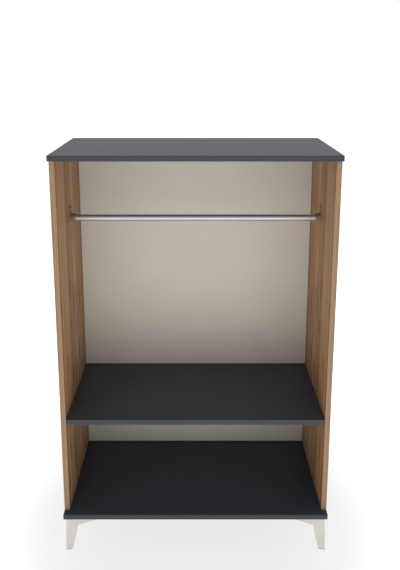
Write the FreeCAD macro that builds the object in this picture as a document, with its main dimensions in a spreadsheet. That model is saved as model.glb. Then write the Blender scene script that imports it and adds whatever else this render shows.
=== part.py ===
import FreeCAD, Part
import math
import os
import Sketcher

# Open-front wardrobe: a dark top, bottom and shelf between oak-patterned sides,
# with a two-piece hardboard back, a clothes rail and four angle legs.
# Front is -Y, up is +Z, and the origin lies on the floor under the middle.

doc = FreeCAD.newDocument("OpenWardrobe")

# Driving dimensions, in millimetres
SIZES = {
    # carcass
    "overall_width": 900,
    "side_height": 1217,
    "clear_depth": 400,
    "front_overhang": 25,
    "board": 18,
    "edge_band": 2,
    "edge_band_round": 1.2,
    # shelf
    "shelf_rise": 323,
    "shelf_side_play": 1,
    "shelf_back_play": 3,
    # back wall
    "back_sheet": 3,
    "back_inset": 2,
    "strip_width": 22,
    "strip_wall": 0.8,
    "strip_play": 0.1,
    "nail_diameter": 1.6,
    "nail_length": 22,
    "nail_head_diameter": 4,
    "nail_head": 0.6,
    "nail_end_set": 60,
    # carcass joints
    "fitting_set": 50,
    "dowel_gap": 64,
    "cam_diameter": 15,
    "cam_height": 12.5,
    "cam_set": 34,
    "cam_slot_length": 7.5,
    "cam_slot_width": 1.6,
    "cam_slot_depth": 2,
    "bolt_diameter": 7,
    "bolt_thread_diameter": 5,
    "bolt_thread_length": 11,
    "dowel_diameter": 8,
    "dowel_length": 35,
    "dowel_bite": 12,
    "dowel_chamfer": 1,
    "cover_diameter": 19,
    "cover_height": 1,
    "cover_chamfer": 0.5,
    "fit_play": 0.1,
    "bore_end_play": 0.5,
    # row of holes for a divider
    "divider_hole_diameter": 5,
    "divider_hole_depth": 11,
    "divider_pitch": 32,
    "divider_column_gap": 18,
    "divider_rear_set": 12,
    # shelf supports
    "support_set": 37,
    "support_width": 12,
    "support_height": 16,
    "support_reach": 9,
    "support_wall": 2,
    "support_peg_diameter": 5,
    "support_peg_length": 9,
    # clothes rail and its brackets
    "rail_diameter": 22,
    "rail_wall": 1.2,
    "rail_drop": 232,
    "rail_back_set": 200,
    "rail_play": 0.3,
    "rail_end_play": 0.5,
    "bracket_plate": 3,
    "bracket_radius": 17.5,
    "bracket_edge_round": 1,
    "socket_length": 18,
    "socket_wall": 3,
    "tab_rise": 37,
    "tab_radius": 9,
    "web_radius": 15,
    "web_width": 6,
    "bracket_peg_diameter": 6,
    "bracket_peg_length": 9,
    "bracket_screw_diameter": 3.5,
    "bracket_screw_length": 15,
    "bracket_screw_head_diameter": 7,
    "bracket_screw_head": 2.4,
    # legs
    "leg_height": 137,
    "leg_front_set": 28,
    "leg_side_set": 3.5,
    "leg_splay_front": 7,
    "leg_splay_side": 3.5,
    "leg_wall": 5,
    "leg_foot_width": 23,
    "leg_toe": 4,
    "leg_knee_width": 42,
    "leg_knee_height": 95,
    "leg_top_width": 166,
    "leg_ridge_round": 3,
    "leg_plate": 3,
    "leg_plate_reach": 112,
    "leg_screw_diameter": 4,
    "leg_screw_length": 16,
    "leg_screw_head_diameter": 8,
    "leg_screw_head": 2.6,
    "glide": 2,
    "glide_inset": 0.6,
    # length by which a cut runs past its face
    "overrun": 5,
}

# Screw places on a leg's plate, as shares of the plate's reach from the ridge
LEG_SCREW_SHARES = ((0.24, 0.24), (0.62, 0.2), (0.2, 0.62))

# Nails along each upright edge, and on each half of the top and bottom edges
UPRIGHT_NAILS = 7
CROSS_NAILS = 3

sheet = doc.addObject("Spreadsheet::Sheet", "Dim")
for row, (alias, value) in enumerate(SIZES.items(), start=1):
    sheet.set(f"A{row}", alias)
    sheet.set(f"B{row}", str(value))
    sheet.setAlias(f"B{row}", alias)
doc.recompute()

# Places that several pieces share, as expressions on the sheet
half_width = "(Dim.overall_width / 2)"
clear_half_width = "(Dim.overall_width / 2 - Dim.board)"
half_depth = (
    "((Dim.front_overhang + Dim.clear_depth + Dim.back_sheet + Dim.strip_play + Dim.strip_wall) / 2)"
)
front_y = f"(-{half_depth})"
side_front_y = f"({front_y} + Dim.front_overhang)"
rear_edge_y = f"({side_front_y} + Dim.clear_depth)"
floor_z = "(Dim.leg_height + Dim.board)"
mid_side_z = f"({floor_z} + Dim.side_height / 2)"
ceiling_z = f"({floor_z} + Dim.side_height)"
shelf_z = f"({floor_z} + Dim.shelf_rise)"
rail_y = f"({side_front_y} + Dim.rail_back_set)"
rail_z = f"({ceiling_z} - Dim.rail_drop)"
fitting_span = "(Dim.clear_depth - 2 * Dim.fitting_set)"
socket_radius = "(Dim.rail_diameter / 2 + Dim.rail_play + Dim.socket_wall)"


# Modelling steps that the pieces share


def bind(item, **expressions):
    """Tie properties to expressions; a double underscore stands for a dot."""
    for name, text in expressions.items():
        item.setExpression(name.replace("__", "."), text)


def place(item, x="0", y="0", z="0"):
    bind(item, Placement__Base__x=x, Placement__Base__y=y, Placement__Base__z=z)


def new_body(label):
    body = doc.addObject("PartDesign::Body", label)
    body.AllowCompound = True
    return body


def origin_feature(body, role):
    return next(item for item in body.Origin.OriginFeatures if item.Role == role)


def new_sketch(body, role, height="0"):
    """A sketch on an origin plane, moved along that plane's axis to a height."""
    sketch = body.newObject("Sketcher::SketchObject", body.Label + "_sketch")
    sketch.AttachmentSupport = [(origin_feature(body, role), "")]
    sketch.MapMode = "FlatFace"
    offset = f"-({height})" if role == "XZ_Plane" else height
    bind(sketch, AttachmentOffset__Base__z=offset)
    return sketch


def value_of(text):
    return float(sheet.evalExpression(text))


def point_of(x, y):
    return FreeCAD.Vector(value_of(x), value_of(y), 0)


def fix_point(sketch, curve, end, x, y):
    """Hold one point of a curve at a place measured from the sketch's origin."""
    for kind, text in (("DistanceX", x), ("DistanceY", y)):
        rule = sketch.addConstraint(Sketcher.Constraint(kind, -1, 1, curve, end, value_of(text)))
        sketch.setExpression(f"Constraints[{rule}]", text)


def fix_radius(sketch, curve, text):
    rule = sketch.addConstraint(Sketcher.Constraint("Radius", curve, value_of(text)))
    sketch.setExpression(f"Constraints[{rule}]", text)


def polygon(sketch, corners):
    """A closed outline of straight lines through corners given as expressions."""
    points = [point_of(x, y) for x, y in corners]
    first = sketch.GeometryCount
    following = points[1:] + points[:1]
    for start, end in zip(points, following):
        sketch.addGeometry(Part.LineSegment(start, end))
    for number in range(len(points)):
        after = (number + 1) % len(points)
        sketch.addConstraint(Sketcher.Constraint("Coincident", first + number, 2, first + after, 1))
        fix_point(sketch, first + number, 1, *corners[number])


def rectangle(sketch, left, right, low, high):
    polygon(sketch, [(left, low), (right, low), (right, high), (left, high)])


def quarter_arc_outline(sketch, corners, radius):
    """Straight lines through corners, closed by a quarter arc from the last to the first."""
    points = [point_of(x, y) for x, y in corners]
    lines = list(zip(points, points[1:]))
    for start, end in lines:
        sketch.addGeometry(Part.LineSegment(start, end))
    last_line = len(lines) - 1
    centre = FreeCAD.Vector(points[0].x, points[-1].y, 0)
    round_corner = Part.Circle(centre, FreeCAD.Vector(0, 0, 1), value_of(radius))
    arc = sketch.addGeometry(Part.ArcOfCircle(round_corner, math.pi, 3 * math.pi / 2))
    for number in range(last_line):
        sketch.addConstraint(Sketcher.Constraint("Coincident", number, 2, number + 1, 1))
        fix_point(sketch, number, 1, *corners[number])
    fix_point(sketch, last_line, 1, *corners[-2])
    fix_point(sketch, last_line, 2, *corners[-1])
    sketch.addConstraint(Sketcher.Constraint("Coincident", last_line, 2, arc, 1))
    sketch.addConstraint(Sketcher.Constraint("Coincident", arc, 2, 0, 1))
    fix_radius(sketch, arc, radius)


def circle(sketch, x, y, radius):
    curve = sketch.addGeometry(
        Part.Circle(point_of(x, y), FreeCAD.Vector(0, 0, 1), value_of(radius))
    )
    fix_point(sketch, curve, 3, x, y)
    fix_radius(sketch, curve, radius)


def pad(body, sketch, length, backwards=False, both_ways=False):
    feature = body.newObject("PartDesign::Pad", body.Label + "_pad")
    feature.Profile = sketch
    feature.Reversed = backwards
    if both_ways:
        feature.SideType = "Symmetric"
    bind(feature, Length=length)
    doc.recompute()
    return feature


def pocket(body, sketch, depth, backwards=False):
    feature = body.newObject("PartDesign::Pocket", body.Label + "_pocket")
    feature.Profile = sketch
    feature.Reversed = backwards
    bind(feature, Length=depth)
    doc.recompute()
    return feature


def drill(body, role, height, places, diameter, depth, backwards=False):
    """Round blind holes of one size, all in one face."""
    sketch = new_sketch(body, role, height)
    for x, y in places:
        circle(sketch, x, y, f"({diameter}) / 2")
    return pocket(body, sketch, depth, backwards)


def soften(body, kind, chosen, size):
    """A fillet or chamfer on the edges of the body's tip that a test picks."""
    base = body.Tip
    names = [f"Edge{n}" for n, edge in enumerate(base.Shape.Edges, start=1) if chosen(edge)]
    feature = body.newObject(f"PartDesign::{kind}", f"{body.Label}_{kind.lower()}")
    feature.Base = (base, names)
    bind(feature, **{"Radius" if kind == "Fillet" else "Size": size})
    doc.recompute()
    return feature


def spread(body, originals, steps):
    """Repeat features through mirrors and rows; a step is a plane, or an axis with span and count."""
    pattern = body.newObject("PartDesign::MultiTransform", body.Label + "_pattern")
    pattern.Originals = originals
    moves = []
    for step in steps:
        if step[0].endswith("Plane"):
            move = body.newObject("PartDesign::Mirrored", body.Label + "_mirror")
            move.MirrorPlane = (origin_feature(body, step[0]), [""])
        else:
            axis, span, count = step
            move = body.newObject("PartDesign::LinearPattern", body.Label + "_row")
            move.Direction = (origin_feature(body, axis), [""])
            move.Occurrences = count
            bind(move, Length=span)
        moves.append(move)
    pattern.Transformations = moves
    body.Tip = pattern
    doc.recompute()
    return pattern


def mirror(label, source, normal):
    """The other hand of a finished piece, across a plane through the origin."""
    other = doc.addObject("Part::Mirroring", label)
    other.Source = source
    other.Normal = FreeCAD.Vector(*normal)
    doc.recompute()
    return other


def box(label, length, width, height, x, y, z):
    block = doc.addObject("Part::Box", label)
    bind(block, Length=length, Width=width, Height=height)
    place(block, x, y, z)
    return block


# Top and bottom panels: melamine-faced board with an edge band on the front and both ends

panel_depth = "(Dim.front_overhang + Dim.clear_depth)"
core_half_width = f"({half_width} - Dim.edge_band)"
joint_x = f"({half_width} - Dim.board / 2)"
bolt_places_y = (
    "Dim.front_overhang + Dim.fitting_set",
    f"{panel_depth} - Dim.fitting_set",
)
dowel_places_y = (
    "Dim.front_overhang + Dim.fitting_set + Dim.dowel_gap",
    f"{panel_depth} - Dim.fitting_set - Dim.dowel_gap",
)


def carcass_panel(label, joint_face, into_board):
    """One flat panel, drilled on one face for the bolts and dowels of both sides."""
    body = new_body(label)
    outline = new_sketch(body, "XY_Plane")
    rectangle(outline, f"-{core_half_width}", core_half_width, "Dim.edge_band", panel_depth)
    pad(body, outline, "Dim.board")
    sides = (joint_x, f"-{joint_x}")
    bolts = [(x, y) for x in sides for y in bolt_places_y]
    dowels = [(x, y) for x in sides for y in dowel_places_y]
    drill(
        body, "XY_Plane", joint_face, bolts,
        "Dim.bolt_thread_diameter + 2 * Dim.fit_play",
        "Dim.bolt_thread_length + Dim.bore_end_play", into_board,
    )
    drill(
        body, "XY_Plane", joint_face, dowels,
        "Dim.dowel_diameter + 2 * Dim.fit_play",
        "Dim.dowel_bite + Dim.bore_end_play", into_board,
    )
    return body


def wrap_band(label):
    """A U of edge band round the front and both ends of a panel."""
    body = new_body(label)
    outline = new_sketch(body, "XY_Plane")
    polygon(outline, [
        (f"-{half_width}", "0"),
        (half_width, "0"),
        (half_width, panel_depth),
        (core_half_width, panel_depth),
        (core_half_width, "Dim.edge_band"),
        (f"-{core_half_width}", "Dim.edge_band"),
        (f"-{core_half_width}", panel_depth),
        (f"-{half_width}", panel_depth),
    ])
    pad(body, outline, "Dim.board")
    core = value_of(core_half_width)
    band = value_of("Dim.edge_band")
    deep = value_of(panel_depth)

    def on_outside(edge):
        middle = edge.CenterOfMass
        return middle.y < deep and (abs(middle.x) > core + band / 2 or middle.y < band / 2)

    soften(body, "Fillet", on_outside, "Dim.edge_band_round")
    return body


top_panel = carcass_panel("top_panel", "0", True)
place(top_panel, y=front_y, z=ceiling_z)
top_edge_band = wrap_band("top_edge_band")
place(top_edge_band, y=front_y, z=ceiling_z)

bottom_panel = carcass_panel("bottom_panel", "Dim.board", False)
place(bottom_panel, y=front_y, z="Dim.leg_height")
bottom_edge_band = wrap_band("bottom_edge_band")
place(bottom_edge_band, y=front_y, z="Dim.leg_height")

# Two columns of holes in the bottom panel, three rows at the front and three at the rear
divider_columns = ("-Dim.divider_column_gap / 2", "Dim.divider_column_gap / 2")
divider_rows = []
for step in range(3):
    divider_rows.append(f"Dim.front_overhang + {step + 1} * Dim.divider_pitch")
    divider_rows.append(f"{panel_depth} - Dim.divider_rear_set - {step} * Dim.divider_pitch")
drill(
    bottom_panel, "XY_Plane", "Dim.board",
    [(x, y) for x in divider_columns for y in divider_rows],
    "Dim.divider_hole_diameter", "Dim.divider_hole_depth",
)

# Pilot holes for the leg screws, in the underside of the bottom panel
ridge_x = f"({half_width} - Dim.leg_side_set)"
ridge_y = f"({half_depth} - Dim.leg_front_set)"
leg_screw_places = [
    (
        f"({ridge_x} - {along} * Dim.leg_plate_reach)",
        f"({ridge_y} - {across} * Dim.leg_plate_reach)",
    )
    for along, across in LEG_SCREW_SHARES
]
pilot_places = []
for x, y in leg_screw_places:
    for side in ("-", ""):
        pilot_places.append((f"{side}{x}", f"{half_depth} - {y}"))
        pilot_places.append((f"{side}{x}", f"{half_depth} + {y}"))
drill(
    bottom_panel, "XY_Plane", "0", pilot_places,
    "Dim.leg_screw_diameter + 2 * Dim.fit_play",
    "Dim.leg_screw_length - Dim.leg_plate + Dim.bore_end_play", True,
)

# Side panels: oak-patterned board, drilled on the inner face and in both ends

left_side_panel = new_body("left_side_panel")
outline = new_sketch(left_side_panel, "XY_Plane")
rectangle(outline, "0", "Dim.board", "Dim.edge_band", "Dim.clear_depth")
pad(left_side_panel, outline, "Dim.side_height")
place(left_side_panel, x=f"-{half_width}", y=side_front_y, z=floor_z)

fitting_rows = ("Dim.fitting_set", "Dim.clear_depth - Dim.fitting_set")
dowel_rows = (
    "Dim.fitting_set + Dim.dowel_gap",
    "Dim.clear_depth - Dim.fitting_set - Dim.dowel_gap",
)
cam_heights = ("Dim.cam_set", "Dim.side_height - Dim.cam_set")
drill(
    left_side_panel, "YZ_Plane", "Dim.board",
    [(y, z) for y in fitting_rows for z in cam_heights],
    "Dim.cam_diameter + 2 * Dim.fit_play", "Dim.cam_height + Dim.bore_end_play",
)
for end, upward in (("0", True), ("Dim.side_height", False)):
    drill(
        left_side_panel, "XY_Plane", end, [("Dim.board / 2", y) for y in fitting_rows],
        "Dim.bolt_diameter + 2 * Dim.fit_play", "Dim.cam_set", upward,
    )
    drill(
        left_side_panel, "XY_Plane", end, [("Dim.board / 2", y) for y in dowel_rows],
        "Dim.dowel_diameter + 2 * Dim.fit_play",
        "Dim.dowel_length - Dim.dowel_bite + Dim.bore_end_play", upward,
    )

# Holes for the shelf supports, the rail bracket's peg and its screw
support_rows = ("Dim.support_set", "Dim.clear_depth - Dim.support_set")
support_peg_drop = "(Dim.support_height / 2)"
drill(
    left_side_panel, "YZ_Plane", "Dim.board",
    [(y, f"Dim.shelf_rise - {support_peg_drop}") for y in support_rows],
    "Dim.support_peg_diameter + 2 * Dim.fit_play",
    "Dim.support_peg_length + Dim.bore_end_play",
)
bracket_height = "(Dim.side_height - Dim.rail_drop)"
drill(
    left_side_panel, "YZ_Plane", "Dim.board", [("Dim.rail_back_set", bracket_height)],
    "Dim.bracket_peg_diameter + 2 * Dim.fit_play",
    "Dim.bracket_peg_length + Dim.bore_end_play",
)
drill(
    left_side_panel, "YZ_Plane", "Dim.board",
    [("Dim.rail_back_set", f"{bracket_height} + Dim.tab_rise")],
    "Dim.bracket_screw_diameter + 2 * Dim.fit_play",
    "Dim.bracket_screw_length - Dim.bracket_plate + Dim.bore_end_play",
)
right_side_panel = mirror("right_side_panel", left_side_panel, (1, 0, 0))


def front_band(label, left, right, height):
    """A straight strip of edge band with its two long front edges rounded."""
    body = new_body(label)
    outline = new_sketch(body, "XY_Plane")
    rectangle(outline, left, right, "0", "Dim.edge_band")
    pad(body, outline, height)
    middle = value_of("Dim.edge_band") / 2
    longest = max(edge.Length for edge in body.Shape.Edges)

    def long_at_front(edge):
        return edge.CenterOfMass.y < middle and edge.Length > longest / 2

    soften(body, "Fillet", long_at_front, "Dim.edge_band_round")
    return body


left_side_edge_band = front_band("left_side_edge_band", "0", "Dim.board", "Dim.side_height")
place(left_side_edge_band, x=f"-{half_width}", y=side_front_y, z=floor_z)
right_side_edge_band = mirror("right_side_edge_band", left_side_edge_band, (1, 0, 0))

# Middle shelf: a loose board that rests on four supports and slides out to the front

shelf_half_width = f"({clear_half_width} - Dim.shelf_side_play)"
middle_shelf = new_body("middle_shelf")
outline = new_sketch(middle_shelf, "XY_Plane")
rectangle(
    outline, f"-{shelf_half_width}", shelf_half_width,
    "Dim.edge_band", "Dim.clear_depth - Dim.shelf_back_play",
)
pad(middle_shelf, outline, "Dim.board")
place(middle_shelf, y=side_front_y, z=shelf_z)
shelf_edge_band = front_band("shelf_edge_band", f"-{shelf_half_width}", shelf_half_width, "Dim.board")
place(shelf_edge_band, y=side_front_y, z=shelf_z)

# Back wall: two hardboard sheets nailed to the rear edges, held at the middle by an H strip

web_half = "(Dim.strip_wall / 2)"
sheet_width = f"({half_width} - Dim.back_inset - {web_half} - Dim.strip_play)"
sheet_height = "(Dim.side_height + 2 * Dim.board - 2 * Dim.back_inset)"
sheet_z = "(Dim.leg_height + Dim.back_inset)"
left_back_sheet = box(
    "left_back_sheet", sheet_width, "Dim.back_sheet", sheet_height,
    f"Dim.back_inset - {half_width}", rear_edge_y, sheet_z,
)
right_back_sheet = box(
    "right_back_sheet", sheet_width, "Dim.back_sheet", sheet_height,
    f"{web_half} + Dim.strip_play", rear_edge_y, sheet_z,
)

back_joint_strip = new_body("back_joint_strip")
outline = new_sketch(back_joint_strip, "XY_Plane")
flange_half = "(Dim.strip_width / 2)"
channel_low = "(-Dim.strip_play)"
channel_high = "(Dim.back_sheet + Dim.strip_play)"
strip_low = f"({channel_low} - Dim.strip_wall)"
strip_high = f"({channel_high} + Dim.strip_wall)"
polygon(outline, [
    (f"-{flange_half}", strip_low),
    (flange_half, strip_low),
    (flange_half, channel_low),
    (web_half, channel_low),
    (web_half, channel_high),
    (flange_half, channel_high),
    (flange_half, strip_high),
    (f"-{flange_half}", strip_high),
    (f"-{flange_half}", channel_high),
    (f"-{web_half}", channel_high),
    (f"-{web_half}", channel_low),
    (f"-{flange_half}", channel_low),
])
pad(back_joint_strip, outline, "Dim.side_height - Dim.strip_play")
place(back_joint_strip, y=rear_edge_y, z=floor_z)

back_nails = new_body("back_nails")
upright_x = f"(-{half_width} + Dim.board / 2)"
upright_z = f"({sheet_z} + Dim.nail_end_set)"
cross_x = "(Dim.strip_width / 2 + Dim.nail_end_set)"
cross_z = "(Dim.leg_height + Dim.board / 2)"
rear_face_y = f"({rear_edge_y} + Dim.back_sheet)"
nail_rows = (
    (upright_x, upright_z, [
        ("YZ_Plane",),
        ("Z_Axis", f"{sheet_height} - 2 * Dim.nail_end_set", UPRIGHT_NAILS),
    ]),
    (cross_x, cross_z, [
        ("X_Axis", f"{half_width} - {cross_x} - Dim.nail_end_set", CROSS_NAILS),
        ("YZ_Plane",),
        ("Z_Axis", "Dim.side_height + Dim.board", 2),
    ]),
)
for x, z, steps in nail_rows:
    shank = new_sketch(back_nails, "XZ_Plane", rear_face_y)
    circle(shank, x, z, "Dim.nail_diameter / 2")
    shank_pad = pad(back_nails, shank, "Dim.nail_length")
    head = new_sketch(back_nails, "XZ_Plane", rear_face_y)
    circle(head, x, z, "Dim.nail_head_diameter / 2")
    head_pad = pad(back_nails, head, "Dim.nail_head", backwards=True)
    spread(back_nails, [shank_pad, head_pad], steps)

# Carcass joints: cam, bolt and dowel at both ends of both sides, and a cap over each cam.
# Each group is drawn at the lower left front joint about the sides' mid-height, then repeated.

end_z = "(-Dim.side_height / 2)"
cam_z = f"({end_z} + Dim.cam_set)"
fitting_y = f"({side_front_y} + Dim.fitting_set)"


def at_all_joints(body, originals, span):
    """Repeat a fitting at both ends of both sides, at the front and at the rear."""
    spread(body, originals, [("YZ_Plane",), ("XY_Plane",), ("Y_Axis", span, 2)])


cam_locks = new_body("cam_locks")
disc = new_sketch(cam_locks, "YZ_Plane", f"-{clear_half_width}")
circle(disc, fitting_y, cam_z, "Dim.cam_diameter / 2")
cam_pad = pad(cam_locks, disc, "Dim.cam_height", backwards=True)
mouth = new_sketch(cam_locks, "XY_Plane", cam_z)
circle(mouth, f"-{joint_x}", fitting_y, "Dim.bolt_diameter / 2 + Dim.fit_play")
cam_mouth = pocket(cam_locks, mouth, "Dim.cam_diameter / 2 + Dim.overrun")
slot = new_sketch(cam_locks, "YZ_Plane", f"-{clear_half_width}")
rectangle(
    slot, f"{fitting_y} - Dim.cam_slot_length / 2", f"{fitting_y} + Dim.cam_slot_length / 2",
    f"{cam_z} - Dim.cam_slot_width / 2", f"{cam_z} + Dim.cam_slot_width / 2",
)
cam_slot = pocket(cam_locks, slot, "Dim.cam_slot_depth")
at_all_joints(cam_locks, [cam_pad, cam_mouth, cam_slot], fitting_span)
place(cam_locks, z=mid_side_z)

cam_bolts = new_body("cam_bolts")
shaft = new_sketch(cam_bolts, "XY_Plane", end_z)
circle(shaft, f"-{joint_x}", fitting_y, "Dim.bolt_diameter / 2")
shaft_pad = pad(cam_bolts, shaft, "Dim.cam_set - Dim.bore_end_play")
thread = new_sketch(cam_bolts, "XY_Plane", end_z)
circle(thread, f"-{joint_x}", fitting_y, "Dim.bolt_thread_diameter / 2")
thread_pad = pad(cam_bolts, thread, "Dim.bolt_thread_length", backwards=True)
at_all_joints(cam_bolts, [shaft_pad, thread_pad], fitting_span)
place(cam_bolts, z=mid_side_z)

wood_dowels = new_body("wood_dowels")
rod = new_sketch(wood_dowels, "XY_Plane", f"{end_z} - Dim.dowel_bite")
circle(rod, f"-{joint_x}", f"{fitting_y} + Dim.dowel_gap", "Dim.dowel_diameter / 2")
rod_pad = pad(wood_dowels, rod, "Dim.dowel_length")
rod_ends = soften(wood_dowels, "Chamfer", lambda edge: edge.isClosed(), "Dim.dowel_chamfer")
at_all_joints(wood_dowels, [rod_pad, rod_ends], f"{fitting_span} - 2 * Dim.dowel_gap")
place(wood_dowels, z=mid_side_z)

cam_covers = new_body("cam_covers")
cap = new_sketch(cam_covers, "YZ_Plane", f"-{clear_half_width}")
circle(cap, fitting_y, cam_z, "Dim.cover_diameter / 2")
cap_pad = pad(cam_covers, cap, "Dim.cover_height")
inner_face = value_of(clear_half_width)
cap_rim = soften(
    cam_covers, "Chamfer",
    lambda edge: edge.isClosed() and edge.CenterOfMass.x > -inner_face + value_of("Dim.cover_height") / 2,
    "Dim.cover_chamfer",
)
at_all_joints(cam_covers, [cap_pad, cap_rim], fitting_span)
place(cam_covers, z=mid_side_z)

# Shelf supports: a tongue under the shelf, a face plate, a rib between them and a peg in the side

shelf_supports = new_body("shelf_supports")
support_y = f"({side_front_y} + Dim.support_set)"
wall_x = f"(-{clear_half_width})"
bracket_profile = new_sketch(shelf_supports, "XZ_Plane", support_y)
polygon(bracket_profile, [
    (wall_x, "0"),
    (f"{wall_x} + Dim.support_reach", "0"),
    (f"{wall_x} + Dim.support_reach", "-Dim.support_wall"),
    (f"{wall_x} + Dim.support_wall", "-Dim.support_wall"),
    (f"{wall_x} + Dim.support_wall", "-Dim.support_height"),
    (wall_x, "-Dim.support_height"),
])
angle_pad = pad(shelf_supports, bracket_profile, "Dim.support_width", both_ways=True)
rib = new_sketch(shelf_supports, "XZ_Plane", support_y)
polygon(rib, [
    (f"{wall_x} + Dim.support_wall / 2", "-Dim.support_wall / 2"),
    (f"{wall_x} + Dim.support_reach", "-Dim.support_wall / 2"),
    (f"{wall_x} + Dim.support_reach", "-Dim.support_wall"),
    (f"{wall_x} + Dim.support_wall", "-Dim.support_height"),
    (f"{wall_x} + Dim.support_wall / 2", "-Dim.support_height"),
])
rib_pad = pad(shelf_supports, rib, "Dim.support_wall", both_ways=True)
peg = new_sketch(shelf_supports, "YZ_Plane", wall_x)
circle(peg, support_y, f"-{support_peg_drop}", "Dim.support_peg_diameter / 2")
peg_pad = pad(shelf_supports, peg, "Dim.support_peg_length", backwards=True)
spread(
    shelf_supports, [angle_pad, rib_pad, peg_pad],
    [("YZ_Plane",), ("Y_Axis", "Dim.clear_depth - 2 * Dim.support_set", 2)],
)
place(shelf_supports, z=shelf_z)

# Clothes rail: a round tube that turns in the sockets of two moulded brackets

clothes_rail = new_body("clothes_rail")
ring = new_sketch(clothes_rail, "YZ_Plane")
circle(ring, "0", "0", "Dim.rail_diameter / 2")
circle(ring, "0", "0", "Dim.rail_diameter / 2 - Dim.rail_wall")
pad(
    clothes_rail, ring, f"2 * ({clear_half_width} - Dim.bracket_plate - Dim.rail_end_play)",
    both_ways=True,
)
place(clothes_rail, y=rail_y, z=rail_z)


def keyhole(sketch, low_radius, high_radius, rise):
    """Two arcs, the smaller above the larger, joined by their common tangents."""
    big, small, lift = value_of(low_radius), value_of(high_radius), value_of(rise)
    lean = math.asin((big - small) / lift)
    upward = FreeCAD.Vector(0, lift, 0)
    out = FreeCAD.Vector(math.cos(lean), math.sin(lean), 0)
    axis = FreeCAD.Vector(0, 0, 1)
    mirrored = FreeCAD.Vector(-out.x, out.y, 0)
    lower = Part.ArcOfCircle(Part.Circle(FreeCAD.Vector(), axis, big), math.pi - lean, 2 * math.pi + lean)
    upper = Part.ArcOfCircle(Part.Circle(upward, axis, small), lean, math.pi - lean)
    right = Part.LineSegment(out * big, upward + out * small)
    left = Part.LineSegment(upward + mirrored * small, mirrored * big)
    for curve in (lower, right, upper, left):
        sketch.addGeometry(curve)
    for number in range(4):
        after = (number + 1) % 4
        sketch.addConstraint(Sketcher.Constraint("Tangent", number, 2, after, 1))
    fix_point(sketch, 0, 3, "0", "0")
    fix_point(sketch, 2, 3, "0", rise)
    fix_radius(sketch, 0, low_radius)
    fix_radius(sketch, 2, high_radius)


left_rail_bracket = new_body("left_rail_bracket")
plate = new_sketch(left_rail_bracket, "YZ_Plane")
keyhole(plate, "Dim.bracket_radius", "Dim.tab_radius", "Dim.tab_rise")
pad(left_rail_bracket, plate, "Dim.bracket_plate")
plate_middle = value_of("Dim.bracket_plate") / 2
soften(
    left_rail_bracket, "Fillet", lambda edge: edge.BoundBox.XMin > plate_middle,
    "Dim.bracket_edge_round",
)
socket = new_sketch(left_rail_bracket, "YZ_Plane", "Dim.bracket_plate / 2")
circle(socket, "0", "0", socket_radius)
pad(left_rail_bracket, socket, "Dim.bracket_plate / 2 + Dim.socket_length")
web = new_sketch(left_rail_bracket, "XZ_Plane")
web_end = "(Dim.bracket_plate + Dim.web_radius)"
web_top = f"({socket_radius} + Dim.web_radius)"
web_root_x = "(Dim.bracket_plate / 2)"
web_root_z = f"({socket_radius} - Dim.socket_wall / 2)"
quarter_arc_outline(web, [
    (web_end, socket_radius),
    (web_end, web_root_z),
    (web_root_x, web_root_z),
    (web_root_x, web_top),
    ("Dim.bracket_plate", web_top),
], "Dim.web_radius")
pad(left_rail_bracket, web, "Dim.web_width", both_ways=True)
drill(
    left_rail_bracket, "YZ_Plane", "Dim.bracket_plate + Dim.socket_length", [("0", "0")],
    "Dim.rail_diameter + 2 * Dim.rail_play", "Dim.socket_length",
)
drill(
    left_rail_bracket, "YZ_Plane", "Dim.bracket_plate", [("0", "Dim.tab_rise")],
    "Dim.bracket_screw_diameter + 2 * Dim.fit_play", "Dim.bracket_plate + Dim.overrun",
)
peg = new_sketch(left_rail_bracket, "YZ_Plane", "Dim.bracket_plate / 2")
circle(peg, "0", "0", "Dim.bracket_peg_diameter / 2")
pad(
    left_rail_bracket, peg, "Dim.bracket_plate / 2 + Dim.bracket_peg_length", backwards=True,
)
place(left_rail_bracket, x=wall_x, y=rail_y, z=rail_z)
right_rail_bracket = mirror("right_rail_bracket", left_rail_bracket, (1, 0, 0))

bracket_screws = new_body("bracket_screws")
screw_face = f"({wall_x} + Dim.bracket_plate)"
head = new_sketch(bracket_screws, "YZ_Plane", screw_face)
circle(head, rail_y, "Dim.tab_rise", "Dim.bracket_screw_head_diameter / 2")
head_pad = pad(bracket_screws, head, "Dim.bracket_screw_head")
head_face = value_of(screw_face) + value_of("Dim.bracket_screw_head") / 2
head_dome = soften(
    bracket_screws, "Fillet", lambda edge: edge.BoundBox.XMin > head_face,
    "Dim.bracket_screw_head / 2",
)
shank = new_sketch(bracket_screws, "YZ_Plane", screw_face)
circle(shank, rail_y, "Dim.tab_rise", "Dim.bracket_screw_diameter / 2")
shank_pad = pad(bracket_screws, shank, "Dim.bracket_screw_length", backwards=True)
spread(bracket_screws, [head_pad, head_dome, shank_pad], [("YZ_Plane",)])
place(bracket_screws, z=rail_z)

# Legs: an angle whose two wings taper from a long top edge, through a knee, to a narrow foot

foot_x = f"({ridge_x} + Dim.leg_splay_side)"
foot_y = f"({ridge_y} + Dim.leg_splay_front)"
top_share = "1"
knee_share = "(Dim.leg_knee_height / Dim.leg_height)"
foot_share = "(Dim.glide / Dim.leg_height)"


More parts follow.
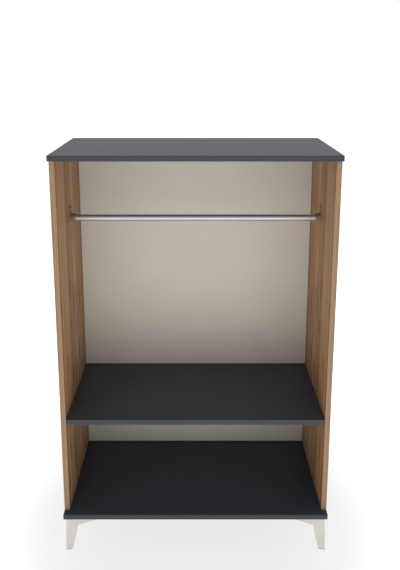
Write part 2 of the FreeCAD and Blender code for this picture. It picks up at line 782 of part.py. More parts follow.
def leg_section(body, share, width, toe="0"):
    """The angle's plan at a share of the leg's height, with its wing ends turned in by toe."""
    x = f"({foot_x} - {share} * Dim.leg_splay_side)"
    y = f"({foot_y} - {share} * Dim.leg_splay_front)"
    section = new_sketch(body, "XY_Plane", f"{share} * Dim.leg_height")
    quarter_arc_outline(section, [
        (f"Dim.leg_ridge_round - {x}", f"-{y}"),
        (f"{width} - {x}", f"{toe} - {y}"),
        (f"{width} - {x}", f"{toe} + Dim.leg_wall - {y}"),
        (f"Dim.leg_wall - {x}", f"Dim.leg_wall - {y}"),
        (f"{toe} + Dim.leg_wall - {x}", f"{width} - {y}"),
        (f"{toe} - {x}", f"{width} - {y}"),
        (f"-{x}", f"Dim.leg_ridge_round - {y}"),
    ], "Dim.leg_ridge_round")
    return section


front_left_leg = new_body("front_left_leg")
sections = [
    leg_section(front_left_leg, foot_share, "Dim.leg_foot_width", "Dim.leg_toe"),
    leg_section(front_left_leg, knee_share, "Dim.leg_knee_width"),
    leg_section(front_left_leg, top_share, "Dim.leg_top_width"),
]
wings = front_left_leg.newObject("PartDesign::AdditiveLoft", "front_left_leg_wings")
wings.Profile = sections[0]
wings.Sections = sections[1:]
wings.Ruled = True
doc.recompute()
plate = new_sketch(front_left_leg, "XY_Plane", "Dim.leg_height")
polygon(plate, [
    (f"Dim.leg_wall / 2 - {ridge_x}", f"Dim.leg_wall / 2 - {ridge_y}"),
    (f"Dim.leg_plate_reach - {ridge_x}", f"Dim.leg_wall / 2 - {ridge_y}"),
    (f"Dim.leg_wall / 2 - {ridge_x}", f"Dim.leg_plate_reach - {ridge_y}"),
])
pad(front_left_leg, plate, "Dim.leg_plate", backwards=True)
drill(
    front_left_leg, "XY_Plane", "Dim.leg_height",
    [(f"-{x}", f"-{y}") for x, y in leg_screw_places],
    "Dim.leg_screw_diameter + 2 * Dim.fit_play", "Dim.leg_plate + Dim.overrun",
)
front_right_leg = mirror("front_right_leg", front_left_leg, (1, 0, 0))
rear_left_leg = mirror("rear_left_leg", front_left_leg, (0, 1, 0))
rear_right_leg = mirror("rear_right_leg", front_right_leg, (0, 1, 0))

leg_screws = new_body("leg_screws")
plate_face = "(Dim.leg_height - Dim.leg_plate)"
screw_parts = []
for x, y in leg_screw_places:
    head = new_sketch(leg_screws, "XY_Plane", plate_face)
    circle(head, f"-{x}", f"-{y}", "Dim.leg_screw_head_diameter / 2")
    screw_parts.append(pad(leg_screws, head, "Dim.leg_screw_head", backwards=True))
    shank = new_sketch(leg_screws, "XY_Plane", plate_face)
    circle(shank, f"-{x}", f"-{y}", "Dim.leg_screw_diameter / 2")
    screw_parts.append(pad(leg_screws, shank, "Dim.leg_screw_length"))
spread(leg_screws, screw_parts, [("YZ_Plane",), ("XZ_Plane",)])

# Glides: a thin plastic pad under each foot, a little smaller than the foot

leg_glides = new_body("leg_glides")
pad_outline = new_sketch(leg_glides, "XY_Plane")
glide_x = f"({foot_x} - Dim.glide_inset)"
glide_y = f"({foot_y} - Dim.glide_inset)"
glide_width = "(Dim.leg_foot_width - 2 * Dim.glide_inset)"
glide_wall = "(Dim.leg_wall - 2 * Dim.glide_inset)"
polygon(pad_outline, [
    (f"-{glide_x}", f"-{glide_y}"),
    (f"{glide_width} - {glide_x}", f"Dim.leg_toe - {glide_y}"),
    (f"{glide_width} - {glide_x}", f"Dim.leg_toe + {glide_wall} - {glide_y}"),
    (f"{glide_wall} - {glide_x}", f"{glide_wall} - {glide_y}"),
    (f"Dim.leg_toe + {glide_wall} - {glide_x}", f"{glide_width} - {glide_y}"),
    (f"Dim.leg_toe - {glide_x}", f"{glide_width} - {glide_y}"),
])
glide_pad = pad(leg_glides, pad_outline, "Dim.glide")
spread(leg_glides, [glide_pad], [("YZ_Plane",), ("XZ_Plane",)])

# The finished pieces, checked and written one file each

PIECES = (
    top_panel, top_edge_band, bottom_panel, bottom_edge_band,
    left_side_panel, left_side_edge_band, right_side_panel, right_side_edge_band,
    middle_shelf, shelf_edge_band,
    left_back_sheet, right_back_sheet, back_joint_strip, back_nails,
    cam_locks, cam_bolts, wood_dowels, cam_covers, shelf_supports,
    clothes_rail, left_rail_bracket, right_rail_bracket, bracket_screws,
    front_left_leg, front_right_leg, rear_left_leg, rear_right_leg, leg_screws, leg_glides,
)

doc.recompute()
for item in doc.Objects:
    if "Invalid" in item.State or "Error" in item.State:
        raise RuntimeError(f"{item.Label} did not build: {item.State}")
    if item.TypeId == "PartDesign::Pocket" and item.Shape.Volume >= item.BaseFeature.Shape.Volume:
        raise RuntimeError(f"{item.Label} cuts nothing")
for piece in PIECES:
    if piece.Shape.isNull() or not piece.Shape.isValid():
        raise RuntimeError(f"{piece.Label} has no valid shape")

os.makedirs("parts", exist_ok=True)
for piece in PIECES:
    piece.Shape.exportStep(f"parts/{piece.Label}.step")
    extent = piece.Shape.BoundBox
    print(
        f"{piece.Label}: {len(piece.Shape.Solids)} solids, "
        f"{extent.XLength:.1f} x {extent.YLength:.1f} x {extent.ZLength:.1f} mm"
    )
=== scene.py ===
import math

import bmesh
import bpy
from mathutils import Matrix, Vector


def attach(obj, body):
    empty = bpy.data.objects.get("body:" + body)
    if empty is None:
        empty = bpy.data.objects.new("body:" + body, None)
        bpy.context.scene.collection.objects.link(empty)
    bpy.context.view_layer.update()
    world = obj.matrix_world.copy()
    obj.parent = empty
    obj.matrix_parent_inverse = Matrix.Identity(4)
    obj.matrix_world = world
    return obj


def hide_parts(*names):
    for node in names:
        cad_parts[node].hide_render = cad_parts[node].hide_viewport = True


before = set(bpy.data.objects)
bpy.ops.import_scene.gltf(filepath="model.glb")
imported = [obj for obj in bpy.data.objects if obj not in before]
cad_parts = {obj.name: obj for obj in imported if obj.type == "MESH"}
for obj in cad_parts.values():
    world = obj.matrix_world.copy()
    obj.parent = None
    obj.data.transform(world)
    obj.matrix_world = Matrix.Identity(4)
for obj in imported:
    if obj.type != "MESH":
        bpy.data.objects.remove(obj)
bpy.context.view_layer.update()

# Bottom panel
# A chipboard panel pressed between matt graphite melamine sheets, with a plastic band of the
# same graphite glued round its front and both ends; the band's colour is painted a little lighter
# than the board's, as painted light on the front edges. It carries the sides and the back wall.


class Wire:
    """A socket in a finish: arithmetic on it adds Math nodes, and node() adds any other kind."""

    def __init__(self, tree, socket=None):
        self.tree = tree
        self.socket = socket

    def node(self, kind, settings, sockets, out=0):
        """Add a node, set it up, feed its sockets, and give back one of its outputs."""
        made = self.tree.nodes.new("ShaderNode" + kind)
        for name, value in settings.items():
            setattr(made, name, value)
        for name, value in sockets.items():
            if isinstance(value, Wire):
                self.tree.links.new(value.socket, made.inputs[name])
            else:
                made.inputs[name].default_value = value
        return Wire(self.tree, made.outputs[out])

    def math(self, operation, *values):
        return self.node("Math", {"operation": operation}, dict(enumerate(values)))

    def __add__(self, other):
        return self.math("ADD", self, other)

    def __sub__(self, other):
        return self.math("SUBTRACT", self, other)

    def __rsub__(self, other):
        return self.math("SUBTRACT", other, self)

    def __mul__(self, other):
        return self.math("MULTIPLY", self, other)

    def __truediv__(self, other):
        return self.math("DIVIDE", self, other)

    def __pow__(self, other):
        return self.math("POWER", self, other)

    def __gt__(self, other):
        return self.math("GREATER_THAN", self, other)

    def __abs__(self):
        return self.math("ABSOLUTE", self)

    __radd__ = __add__
    __rmul__ = __mul__

    def sine(self):
        return self.math("SINE", self)

    def larger(self, other):
        return self.math("MAXIMUM", self, other)

    def rise(self, low, high):
        """0 below low, 1 above high and a smooth step between."""
        return self.node(
            "MapRange", {"interpolation_type": "SMOOTHSTEP"},
            {"Value": self, "From Min": low, "From Max": high},
        )

    def tint(self, low, high):
        """A colour between two others, by this value."""
        return self.node(
            "Mix", {"data_type": "RGBA"},
            {0: self, 6: as_colour(low), 7: as_colour(high)}, out=2,
        )

    def relief(self, height, strength):
        """The surface's normal, raised by this value times a height in metres."""
        return self.node("Bump", {}, {"Height": self, "Distance": height, "Strength": strength})


def as_colour(value):
    return value if isinstance(value, Wire) else (*value, 1.0)


def new_finish(name):
    """A bare finish, with the place on the piece, in metres, as three wires."""
    material = bpy.data.materials.new(name)
    material.use_nodes = True
    start = Wire(material.node_tree)
    place = start.node("TexCoord", {}, {}, out="Object")
    return material, [place.node("SeparateXYZ", {}, {"Vector": place}, out=axis) for axis in "XYZ"]


def cloud(place, counts, detail=2.0, roughness=0.5):
    """Smooth noise from 0 to 1, with so many features to the metre along x, y and z."""
    x, y, z = (along * count for along, count in zip(place, counts))
    spot = x.node("CombineXYZ", {}, {"X": x, "Y": y, "Z": z})
    return spot.node(
        "TexNoise", {}, {"Vector": spot, "Scale": 1.0, "Detail": detail, "Roughness": roughness},
    )


def surface(material, inputs):
    """Feed the finish's shader; a wire is linked and a plain value is set on its socket."""
    shader = material.node_tree.nodes["Principled BSDF"]
    for name, value in inputs.items():
        if isinstance(value, Wire):
            material.node_tree.links.new(value.socket, shader.inputs[name])
        else:
            shader.inputs[name].default_value = value


def dress(material, *names):
    for name in names:
        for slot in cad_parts[name].material_slots:
            slot.material = material


GRAPHITE_DARK = (0.046, 0.053, 0.069)
GRAPHITE_LIGHT = (0.058, 0.066, 0.086)
# The band's colours are painted a little lighter than the board's: painted light on the front
# edges
PAINTED_LIT_BAND_DARK = (0.051, 0.058, 0.074)
PAINTED_LIT_BAND_LIGHT = (0.061, 0.069, 0.087)
# Pearls and clouds of the pressed sheet to the metre, and the pearls' height
PEARLS = (900, 900, 900)
PALE_CLOUDS = (7, 7, 7)
BOARD_PEARL = 0.00025
BAND_PEARL = 0.0001


def graphite(name, dark, light, pearl):
    """Matt melamine or band: a fine pearl texture under a faint cloudiness."""
    material, place = new_finish(name)
    fine = cloud(place, PEARLS, detail=3.0, roughness=0.6)
    broad = cloud(place, PALE_CLOUDS)
    surface(material, {
        "Base Color": (fine * 0.6 + broad * 0.4).rise(0.3, 0.7).tint(dark, light),
        "Roughness": 0.34 + 0.12 * fine,
        "Specular IOR Level": 0.2,
        "Normal": fine.relief(pearl, 0.35),
    })
    return material


graphite_board = graphite("graphite_board", GRAPHITE_DARK, GRAPHITE_LIGHT, BOARD_PEARL)
# The band's finish carries the painted light on the front edges
graphite_band = graphite("graphite_band", PAINTED_LIT_BAND_DARK, PAINTED_LIT_BAND_LIGHT, BAND_PEARL)
dress(graphite_board, "bottom_panel")
dress(graphite_band, "bottom_edge_band")

# Legs and glides
# Four angle legs moulded in cream plastic, whose two wings taper through a knee to a narrow foot.
# Three screws hold each leg's plate under the bottom panel, and a thin pad sits under its foot.

CREAM = (0.835, 0.801, 0.731)
CREAM_SHADE = (0.775, 0.740, 0.671)
PEEL_HEIGHT = 0.0002

cream_plastic, place = new_finish("cream_plastic")
peel = cloud(place, (420, 420, 420))
flow = cloud(place, (12, 12, 5))
surface(cream_plastic, {
    "Base Color": (flow * 0.7 + peel * 0.3).rise(0.25, 0.75).tint(CREAM_SHADE, CREAM),
    "Roughness": 0.36 + 0.12 * peel,
    "Normal": peel.relief(PEEL_HEIGHT, 0.25),
})
dress(cream_plastic, "front_left_leg", "front_right_leg", "rear_left_leg", "rear_right_leg")

GLIDE_GREY = (0.20, 0.19, 0.175)
GLIDE_SHADE = (0.13, 0.125, 0.115)

glide_plastic, place = new_finish("glide_plastic")
rub = cloud(place, (300, 300, 40))
surface(glide_plastic, {
    "Base Color": rub.rise(0.3, 0.7).tint(GLIDE_SHADE, GLIDE_GREY),
    "Roughness": 0.6 + 0.2 * rub,
})
dress(glide_plastic, "leg_glides")


def plated(name, dull, bright, counts, edge, smooth, haze):
    """Plated metal, clouded by a fine haze that takes off some of its colour and gloss."""
    material, place = new_finish(name)
    bloom = cloud(place, counts, detail=3.0)
    surface(material, {
        "Base Color": bloom.rise(edge, 1 - edge).tint(dull, bright),
        "Metallic": 1.0,
        "Roughness": smooth + haze * bloom,
    })
    return material


ZINC = (0.62, 0.62, 0.61)
ZINC_DULL = (0.42, 0.42, 0.40)
bright_zinc = plated(
    "bright_zinc", ZINC_DULL, ZINC, (800, 800, 800), edge=0.35, smooth=0.28, haze=0.2,
)

# Outline of a screw from its point to the crown of its head: shares of the shank's radius and
# length, then of the head's radius and height
SHANK_SHARES = ((0.0, 1.0), (0.3, 0.97), (1.0, 0.8), (1.0, 0.0))
HEAD_SHARES = ((1.0, 0.0), (1.0, 0.35), (0.9, 0.72), (0.62, 0.94), (0.0, 1.0))
# Its cross recess: reach and half width of an arm as shares of the head's radius, and the floor
# and the mouth as shares of the head's height, each with its share of the cross
ARM_SHARE = 0.60
HALF_ARM_SHARE = 0.13
RECESS_SHARES = ((0.3, 0.5), (1.3, 1.1))
TURN_STEPS = 36
WELD = 1e-6
CREASE = math.radians(35)


def put_in_scene(name, data):
    """An object that shows a mesh, a light or a camera."""
    made = bpy.data.objects.new(name, data)
    bpy.context.scene.collection.objects.link(made)
    return made


def mesh_from(name, made):
    mesh = bpy.data.meshes.new(name)
    made.to_mesh(mesh)
    made.free()
    return mesh


def screw_blank(name, head_radius, head_height, shank_radius, length):
    """One screw without its recess, turned about its axis with the head's underside at zero."""
    outline = [(across * shank_radius, -along * length) for across, along in SHANK_SHARES]
    outline += [(across * head_radius, up * head_height) for across, up in HEAD_SHARES]
    turned = bmesh.new()
    profile = [turned.verts.new((radius, 0.0, height)) for radius, height in outline]
    lines = [turned.edges.new(ends) for ends in zip(profile, profile[1:])]
    bmesh.ops.spin(
        turned, geom=profile + lines, axis=(0, 0, 1), cent=(0, 0, 0),
        angle=math.tau, steps=TURN_STEPS,
    )
    bmesh.ops.remove_doubles(turned, verts=turned.verts, dist=WELD)
    bmesh.ops.recalc_face_normals(turned, faces=turned.faces)
    return mesh_from(name, turned)


def cross_punch(name, head_radius, head_height):
    """The tapered cross that is sunk into a head."""
    arm, half = head_radius * ARM_SHARE, head_radius * HALF_ARM_SHARE
    punch = bmesh.new()
    rings = []
    for height, share in RECESS_SHARES:
        ring = []
        for quarter in range(4):
            swing = Matrix.Rotation(quarter * math.pi / 2, 4, "Z")
            for across, up in ((half, half), (half, arm), (-half, arm)):
                corner = Vector((across * share, up * share, height * head_height))
                ring.append(punch.verts.new(swing @ corner))
        rings.append(ring)
    low, high = rings
    punch.faces.new(low)
    punch.faces.new(high)
    for here in range(len(low)):
        after = (here + 1) % len(low)
        punch.faces.new((low[here], low[after], high[after], high[here]))
    bmesh.ops.recalc_face_normals(punch, faces=punch.faces)
    return mesh_from(name, punch)


def cross_screws(name, finish, seats, head_radius, head_height, shank_radius, length):
    """Pan-head screws with a cross recess, all as one piece.

    A seat is the point under a head and the way that the head faces.
    """
    blank = put_in_scene(name, screw_blank(name, head_radius, head_height, shank_radius, length))
    punch = put_in_scene(name, cross_punch(name, head_radius, head_height))
    cut = blank.modifiers.new("recess", "BOOLEAN")
    cut.operation = "DIFFERENCE"
    cut.object = punch
    depsgraph = bpy.context.evaluated_depsgraph_get()
    one = bpy.data.meshes.new_from_object(blank.evaluated_get(depsgraph))
    for tool in (blank, punch):
        bpy.data.objects.remove(tool)
    every = bmesh.new()
    for seat, facing in seats:
        driven = one.copy()
        turn = Vector(facing).to_track_quat("Z", "Y").to_matrix().to_4x4()
        driven.transform(Matrix.Translation(seat) @ turn)
        every.from_mesh(driven)
    mesh = mesh_from(name, every)
    mesh.shade_smooth()
    mesh.set_sharp_from_angle(angle=CREASE)
    mesh.materials.append(finish)
    return put_in_scene(name, mesh)


LEG_PLATE_FACE = 0.134
LEG_SCREW_PLACES = ((0.41962, 0.15957), (0.37706, 0.16405), (0.42410, 0.11701))
leg_screws = cross_screws(
    "leg_cross_screws", bright_zinc,
    [
        ((side * across, end * along, LEG_PLATE_FACE), (0, 0, -1))
        for across, along in LEG_SCREW_PLACES for side in (-1, 1) for end in (-1, 1)
    ],
    head_radius=0.004, head_height=0.0026, shank_radius=0.002, length=0.016,
)
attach(leg_screws, "carcass")
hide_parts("leg_screws")

# Side panels
# Chipboard faced with an oak-patterned sheet: upright grain in warm brown, with soft streaks,
# fine pores and a few dark splits, and a dark stripe along the rear edge that is painted shade of
# the rear corner. A band of the same pattern is glued to each front edge.

OAK_LIGHT = (0.622, 0.358, 0.178)
OAK_BROWN = (0.409, 0.217, 0.099)
# The streak colour also tints the painted shade along the rear corner
OAK_STREAK_AND_SHADE = (0.219, 0.108, 0.047)
OAK_PORE = (0.155, 0.076, 0.034)
OAK_SPLIT = (0.070, 0.032, 0.013)
TAN_LIGHT = (0.442, 0.282, 0.153)
TAN_BROWN = (0.294, 0.172, 0.086)
GRAIN_HEIGHT = 0.0005

# Features of the print to the metre across and up the sheet, and the part of the log they show
SWAY = (2.5, 0.9, 0.0)
WAVE = (14, 6, 2.3)
PLANK = (30, 0.25, 0.0)
STREAK = (75, 0.55, 8.1)
FIBRE = (330, 2.2, 4.6)
DASH = (900, 14, 6.2)
CHECK = (80, 2.0, 3.7)
# How far the grain sways and waves across the sheet, in metres
SWAY_REACH = 0.040
WAVE_REACH = 0.006
# The arches of the heart: place across, steepness, rise up the sheet, sway and closeness
HEART_MIDDLE = 0.04
HEART_BOW = 30
HEART_RISE = 0.55
HEART_SWAY = 0.8
HEART_RINGS = 44
# Depth of tone of the soft streaks, the pores, the small checks, and all that is dark
SHADE_DEPTH = 0.60
PORE_DEPTH = 0.50
CHECK_DEPTH = 0.8
SPLIT_DEPTH = 0.92
# The long dark streaks: place across, half width, depth of tone; the last, at the rear edge, is
# painted shade of the rear corner
OAK_STREAKS_AND_REAR_SHADE = (
    (-0.182, 0.014, 0.45),
    (-0.044, 0.024, 0.48),
    (0.016, 0.008, 0.35),
    (0.118, 0.018, 0.35),
    # Painted shade of the rear corner, along the rear edge of each side
    (0.212, 0.034, 0.72),
)
# The dark splits: place across and up, half width, half length, depth of tone
OAK_SPLITS = (
    (0.016, 0.828, 0.0058, 0.085, 1.00),
    (0.014, 0.882, 0.0041, 0.027, 0.97),
    (-0.038, 0.892, 0.0068, 0.045, 0.92),
    (-0.036, 0.760, 0.0061, 0.037, 0.92),
    (0.129, 0.790, 0.0061, 0.075, 0.76),
    (-0.114, 0.660, 0.0058, 0.043, 0.92),
    (-0.178, 0.892, 0.0048, 0.037, 0.92),
    (0.086, 0.630, 0.0061, 0.062, 0.76),
    (-0.034, 0.574, 0.0068, 0.043, 0.97),
    (-0.128, 0.345, 0.0054, 0.062, 0.97),
    (-0.068, 0.290, 0.0068, 0.088, 0.92),
    (-0.166, 0.230, 0.0048, 0.045, 0.92),
)


def oak(name, lay, light, brown, streaks_and_rear_shade, splits):
    """Upright oak print; lay turns a place into across, up and the part of the log it shows."""
    material, place = new_finish(name)
    u, v, log = lay(*place)

    def layer(across, kind, **look):
        wide, tall, part = kind
        return cloud((across, log + part, v), (wide, 1, tall), **look)

    sway = layer(u, SWAY) - 0.5
    wave = layer(u, WAVE) - 0.5
    w = u + SWAY_REACH * sway + WAVE_REACH * wave
    plank = layer(w, PLANK)
    streak = layer(w, STREAK, detail=3.0)
    fibre = layer(w, FIBRE, detail=3.0, roughness=0.6)
    dash = layer(w, DASH)
    heart = (w - HEART_MIDDLE) ** 2 * HEART_BOW + v * HEART_RISE + HEART_SWAY * sway + log
    arch = (heart * HEART_RINGS).sine() * 0.5 + 0.5
    tone = (0.42 * plank + 0.28 * streak + 0.30 * fibre).rise(0.39, 0.61)
    shade = (0.55 * streak + 0.25 * arch + 0.20 * fibre).rise(0.46, 0.74) * SHADE_DEPTH
    # The long dark streaks, the rear one of them painted shade of the rear corner
    for middle, half_width, depth in streaks_and_rear_shade:
        band = (1 - (((w - middle) / half_width) ** 2).rise(0.0, 1.6)) * (0.5 + streak)
        shade = shade.larger(band * depth)
    pores = dash.rise(0.58, 0.70) * streak.rise(0.40, 0.60)
    ragged = 1.2 * (fibre - 0.5) + 0.6 * (dash - 0.5)
    dark = (layer(w, CHECK, detail=1.0) + 0.08 * ragged).rise(0.73, 0.80) * CHECK_DEPTH
    for middle, height, half_width, half_length, depth in splits:
        reach = ((w - middle) / half_width) ** 2 + ((v - height) / half_length) ** 2
        dark = dark.larger((1 - (reach + ragged).rise(0.25, 1.05)) * depth)
    colour = tone.tint(brown, light)
    colour = shade.tint(colour, OAK_STREAK_AND_SHADE)
    colour = (pores * PORE_DEPTH).tint(colour, OAK_PORE)
    colour = (dark * SPLIT_DEPTH).tint(colour, OAK_SPLIT)
    surface(material, {
        "Base Color": colour,
        "Roughness": 0.60 - 0.14 * tone + 0.12 * dark,
        "Specular IOR Level": 0.35,
        "Normal": (fibre * 0.5 - pores * 0.7 - dark).relief(GRAIN_HEIGHT, 0.22),
    })
    return material


BOARD_MIDDLE = 0.441
OUTER_FACE_LOG = 5.3
BAND_LOG = 11.2


def on_board(x, y, z):
    return y, z, (abs(x) > BOARD_MIDDLE) * OUTER_FACE_LOG


def on_band(x, y, z):
    return abs(x), z, BAND_LOG


oak_board = oak("oak_board", on_board, OAK_LIGHT, OAK_BROWN, OAK_STREAKS_AND_REAR_SHADE, OAK_SPLITS)
oak_band = oak("oak_band", on_band, TAN_LIGHT, TAN_BROWN, (), ())
dress(oak_board, "left_side_panel", "right_side_panel")
dress(oak_band, "left_side_edge_band", "right_side_edge_band")

# Top panel
# The same graphite-faced chipboard as the bottom panel, with the same band round its front and
# both ends. It lies on the sides and stands out before them.

dress(graphite_board, "top_panel")
dress(graphite_band, "top_edge_band")

# Joint fittings
# Cams pressed into the sides draw in bolts that stand in the top and bottom, beside beech dowels.
# A plastic cap printed like the side closes each cam's hole, so it all but disappears.

dress(bright_zinc, "cam_locks", "cam_bolts")
dress(oak_board, "cam_covers")

BEECH = (0.56, 0.38, 0.22)
BEECH_FLECK = (0.42, 0.26, 0.14)
FLECK_HEIGHT = 0.0003

beech, place = new_finish("beech")
fleck = cloud(place, (500, 500, 90))
surface(beech, {
    "Base Color": fleck.rise(0.35, 0.65).tint(BEECH_FLECK, BEECH),
    "Roughness": 0.6 + 0.15 * fleck,
    "Normal": fleck.relief(FLECK_HEIGHT, 0.4),
})
dress(beech, "wood_dowels")

# Back wall
# Two hardboard sheets, lacquered pale beige inside and left raw brown behind, held together in
# the middle by a plastic strip with two channels and nailed to the rear edges all round.

LACQUER = (0.760, 0.715, 0.638)
LACQUER_SHADE = (0.729, 0.684, 0.608)
RAW_FIBRE = (0.285, 0.185, 0.105)
RAW_FIBRE_DARK = (0.190, 0.115, 0.062)
FELT_HEIGHT = 0.0003
# Turns of the pressing screen's weave to the metre, in radians
SCREEN = 900

hardboard, place = new_finish("hardboard")
x, y, z = place
facing = x.node("TexCoord", {}, {}, out="Normal")
raw = facing.node("SeparateXYZ", {}, {"Vector": facing}, out="Y") > 0.5
felt = cloud(place, (260, 260, 260), detail=4.0, roughness=0.7)
patch = cloud(place, (9, 9, 9), detail=3.0)
screen = (x * SCREEN).sine() * (z * SCREEN).sine()
lacquer = (felt * 0.5 + patch * 0.5).rise(0.3, 0.7).tint(LACQUER_SHADE, LACQUER)
fibre = (felt * 0.6 + patch * 0.4).rise(0.35, 0.65).tint(RAW_FIBRE_DARK, RAW_FIBRE)
surface(hardboard, {
    "Base Color": raw.tint(lacquer, fibre),
    "Roughness": 0.46 + 0.06 * felt + 0.3 * raw,
    "Normal": (felt * (0.3 + 0.7 * raw) + 0.35 * screen * raw).relief(FELT_HEIGHT, 0.3),
})
dress(hardboard, "left_back_sheet", "right_back_sheet")

STRIP = (0.749, 0.704, 0.629)
STRIP_SHADE = (0.734, 0.689, 0.614)
DRAWN_HEIGHT = 0.0001

strip_plastic, place = new_finish("strip_plastic")
drawn = cloud(place, (1800, 1800, 3))
surface(strip_plastic, {
    "Base Color": drawn.rise(0.3, 0.7).tint(STRIP_SHADE, STRIP),
    "Roughness": 0.38 + 0.1 * drawn,
    "Normal": drawn.relief(DRAWN_HEIGHT, 0.3),
})
dress(strip_plastic, "back_joint_strip")
dress(bright_zinc, "back_nails")

# Shelf supports
# Four small ribbed angles of nickel-plated metal. The peg on each plugs into a hole in the side,
# and the shelf lies on its tongue.

NICKEL = (0.66, 0.64, 0.60)
NICKEL_DULL = (0.52, 0.50, 0.47)
nickel = plated("nickel", NICKEL_DULL, NICKEL, (600, 600, 600), edge=0.3, smooth=0.22, haze=0.16)
dress(nickel, "shelf_supports")

# Middle shelf
# A graphite-faced chipboard like the top and bottom, banded at the front only.
# It lies loose on the four supports, so it pulls straight out.

dress(graphite_board, "middle_shelf")
dress(graphite_band, "shelf_edge_band")

# Rail brackets
# Sockets with a flared web, moulded in plastic of the sides' brown. A peg behind and one
# cross-recessed screw through the tab hold each bracket to its side.

SOCKET_BROWN = (0.320, 0.196, 0.112)
SOCKET_SHADE = (0.262, 0.157, 0.087)
MOULD_HEIGHT = 0.0002

socket_plastic, place = new_finish("socket_plastic")
mould = cloud(place, (380, 380, 380))
swirl = cloud(place, (40, 120, 18), detail=3.0)
surface(socket_plastic, {
    "Base Color": (swirl * 0.7 + mould * 0.3).rise(0.3, 0.7).tint(SOCKET_SHADE, SOCKET_BROWN),
    "Roughness": 0.42 + 0.14 * mould,
    "Specular IOR Level": 0.35,
    "Normal": mould.relief(MOULD_HEIGHT, 0.25),
})
dress(socket_plastic, "left_rail_bracket", "right_rail_bracket")

BROWNED = (0.130, 0.082, 0.045)
BROWNED_DARK = (0.075, 0.046, 0.026)
brown_steel = plated(
    "brown_steel", BROWNED_DARK, BROWNED, (700, 700, 700), edge=0.3, smooth=0.35, haze=0.2,
)

BRACKET_FACE = 0.429
RAIL_DEPTH = 0.01055
TAB_HEIGHT = 1.177
bracket_screws = cross_screws(
    "bracket_cross_screws", brown_steel,
    [((side * BRACKET_FACE, RAIL_DEPTH, TAB_HEIGHT), (-side, 0, 0)) for side in (-1, 1)],
    head_radius=0.0035, head_height=0.0024, shank_radius=0.00175, length=0.015,
)
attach(bracket_screws, "carcass")
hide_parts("bracket_screws")

# Clothes rail
# A thin-walled round steel tube with a satin chrome plate, wiped along its length.
# Its ends lie loose in the two sockets, so it can turn.

CHROME = (0.66, 0.66, 0.67)
CHROME_HAZE = (0.57, 0.57, 0.58)
chrome = plated("chrome", CHROME_HAZE, CHROME, (9, 260, 260), edge=0.3, smooth=0.44, haze=0.08)
dress(chrome, "clothes_rail")

# Studio
# A pale floor that glows softly as painted light, most of all in a ring a step or more away from
# the feet, and dimmer near them as painted shade round the feet.
# A white surround, brighter behind, stands about it, and one wide soft box stands in front.

PALE = (0.26, 0.26, 0.26)
PALE_SHADE = (0.24, 0.24, 0.24)
# Near the feet the glow is dimmer, as painted shade round the feet
NEAR_GLOW_PAINTED_SHADE = (0.760, 0.753, 0.758)
RING_GLOW = (1.50, 1.50, 1.50)
FAR_GLOW = (1.0, 1.0, 1.0)
# Distances from the middle between which the glow changes
NEAR_TO_RING = (0.45, 1.2)
RING_TO_FAR = (2.2, 3.8)
FLOOR_HALF = 14.0
FLOOR_DROP = 0.0004

floor_paint, place = new_finish("floor_paint")
x, y, z = place
grain = cloud(place, (3, 3, 1))
distance = (x * x + y * y) ** 0.5
# The floor's glow is painted light, dimmed near the feet as painted shade
glow_and_painted_shade = distance.rise(*NEAR_TO_RING).tint(NEAR_GLOW_PAINTED_SHADE, RING_GLOW)
surface(floor_paint, {
    "Base Color": grain.tint(PALE_SHADE, PALE),
    "Roughness": 0.9,
    "Emission Color": distance.rise(*RING_TO_FAR).tint(glow_and_painted_shade, FAR_GLOW),
    "Emission Strength": 1.0,
})
floor_mesh = bpy.data.meshes.new("floor")
floor_corners = ((-1, -1), (1, -1), (1, 1), (-1, 1))
floor_mesh.from_pydata(
    [(across * FLOOR_HALF, along * FLOOR_HALF, -FLOOR_DROP) for across, along in floor_corners],
    [], [(0, 1, 2, 3)],
)
floor_mesh.materials.append(floor_paint)
floor = put_in_scene("floor", floor_mesh)

WHITE = (1.0, 1.0, 1.0, 1.0)
SEEN_GLOW = 1.0
FRONT_GLOW = 0.46
LOW_GLOW = 0.95
REAR_GLOW = 0.60
# How far up, and how far to the rear, a direction points where the surround's light changes
LOW_TO_REAR = (0.1, 0.3)
FRONT_TO_BEHIND = (-0.1, 0.3)

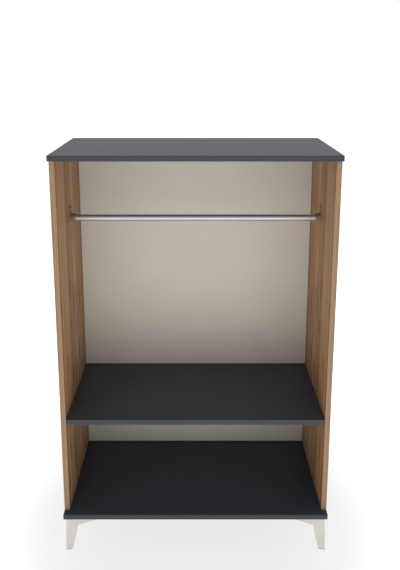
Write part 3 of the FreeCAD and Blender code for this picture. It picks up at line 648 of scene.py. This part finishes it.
surround = bpy.data.worlds.new("surround")
surround.use_nodes = True
bpy.context.scene.world = surround
start = Wire(surround.node_tree)
toward = start.node("TexCoord", {}, {}, out="Generated")
upward = toward.node("SeparateXYZ", {}, {"Vector": toward}, out="Z")
backward = toward.node("SeparateXYZ", {}, {"Vector": toward}, out="Y")
front, low, rear, seen = (
    start.node("Background", {}, {"Color": WHITE, "Strength": strength})
    for strength in (FRONT_GLOW, LOW_GLOW, REAR_GLOW, SEEN_GLOW)
)
behind = start.node("MixShader", {}, {0: upward.rise(*LOW_TO_REAR), 1: low, 2: rear})
lit = start.node("MixShader", {}, {0: backward.rise(*FRONT_TO_BEHIND), 1: front, 2: behind})
backdrop = start.node("LightPath", {}, {}, out="Is Camera Ray")
both = start.node("MixShader", {}, {0: backdrop, 1: lit, 2: seen})
world_output = surround.node_tree.nodes["World Output"]
surround.node_tree.links.new(both.socket, world_output.inputs["Surface"])

BOX_PLACE = Vector((0.0, -4.5, 1.0))
BOX_AIM = Vector((0.0, 0.0, 0.8))
BOX_WIDTH = 7.0
BOX_HEIGHT = 2.0
BOX_POWER = 18.5

soft_box = bpy.data.lights.new("front_soft_box", "AREA")
soft_box.shape = "RECTANGLE"
soft_box.size = BOX_WIDTH
soft_box.size_y = BOX_HEIGHT
soft_box.energy = BOX_POWER
lamp = put_in_scene("front_soft_box", soft_box)
lamp.location = BOX_PLACE
lamp.rotation_euler = (BOX_AIM - BOX_PLACE).to_track_quat("-Z", "Y").to_euler()

bpy.context.scene.view_settings.view_transform = "Standard"

EYE = (0.0, -2.0965, 1.683)
TILT = math.radians(11.5)
SENSOR = 36.0
# The image's height, the lens's length and the lens's shift, in pixels of the image
IMAGE_HEIGHT = 570
LENS_LENGTH = 632
SHIFT_ACROSS = 4.5
SHIFT_UP = -100

lens = bpy.data.cameras.new("camera")
lens.sensor_width = SENSOR
lens.lens = SENSOR * LENS_LENGTH / IMAGE_HEIGHT
lens.shift_x = SHIFT_ACROSS / IMAGE_HEIGHT
lens.shift_y = SHIFT_UP / IMAGE_HEIGHT
camera = put_in_scene("camera", lens)
camera.location = EYE
camera.rotation_euler = (math.pi / 2 - TILT, 0.0, 0.0)
bpy.context.scene.camera = camera
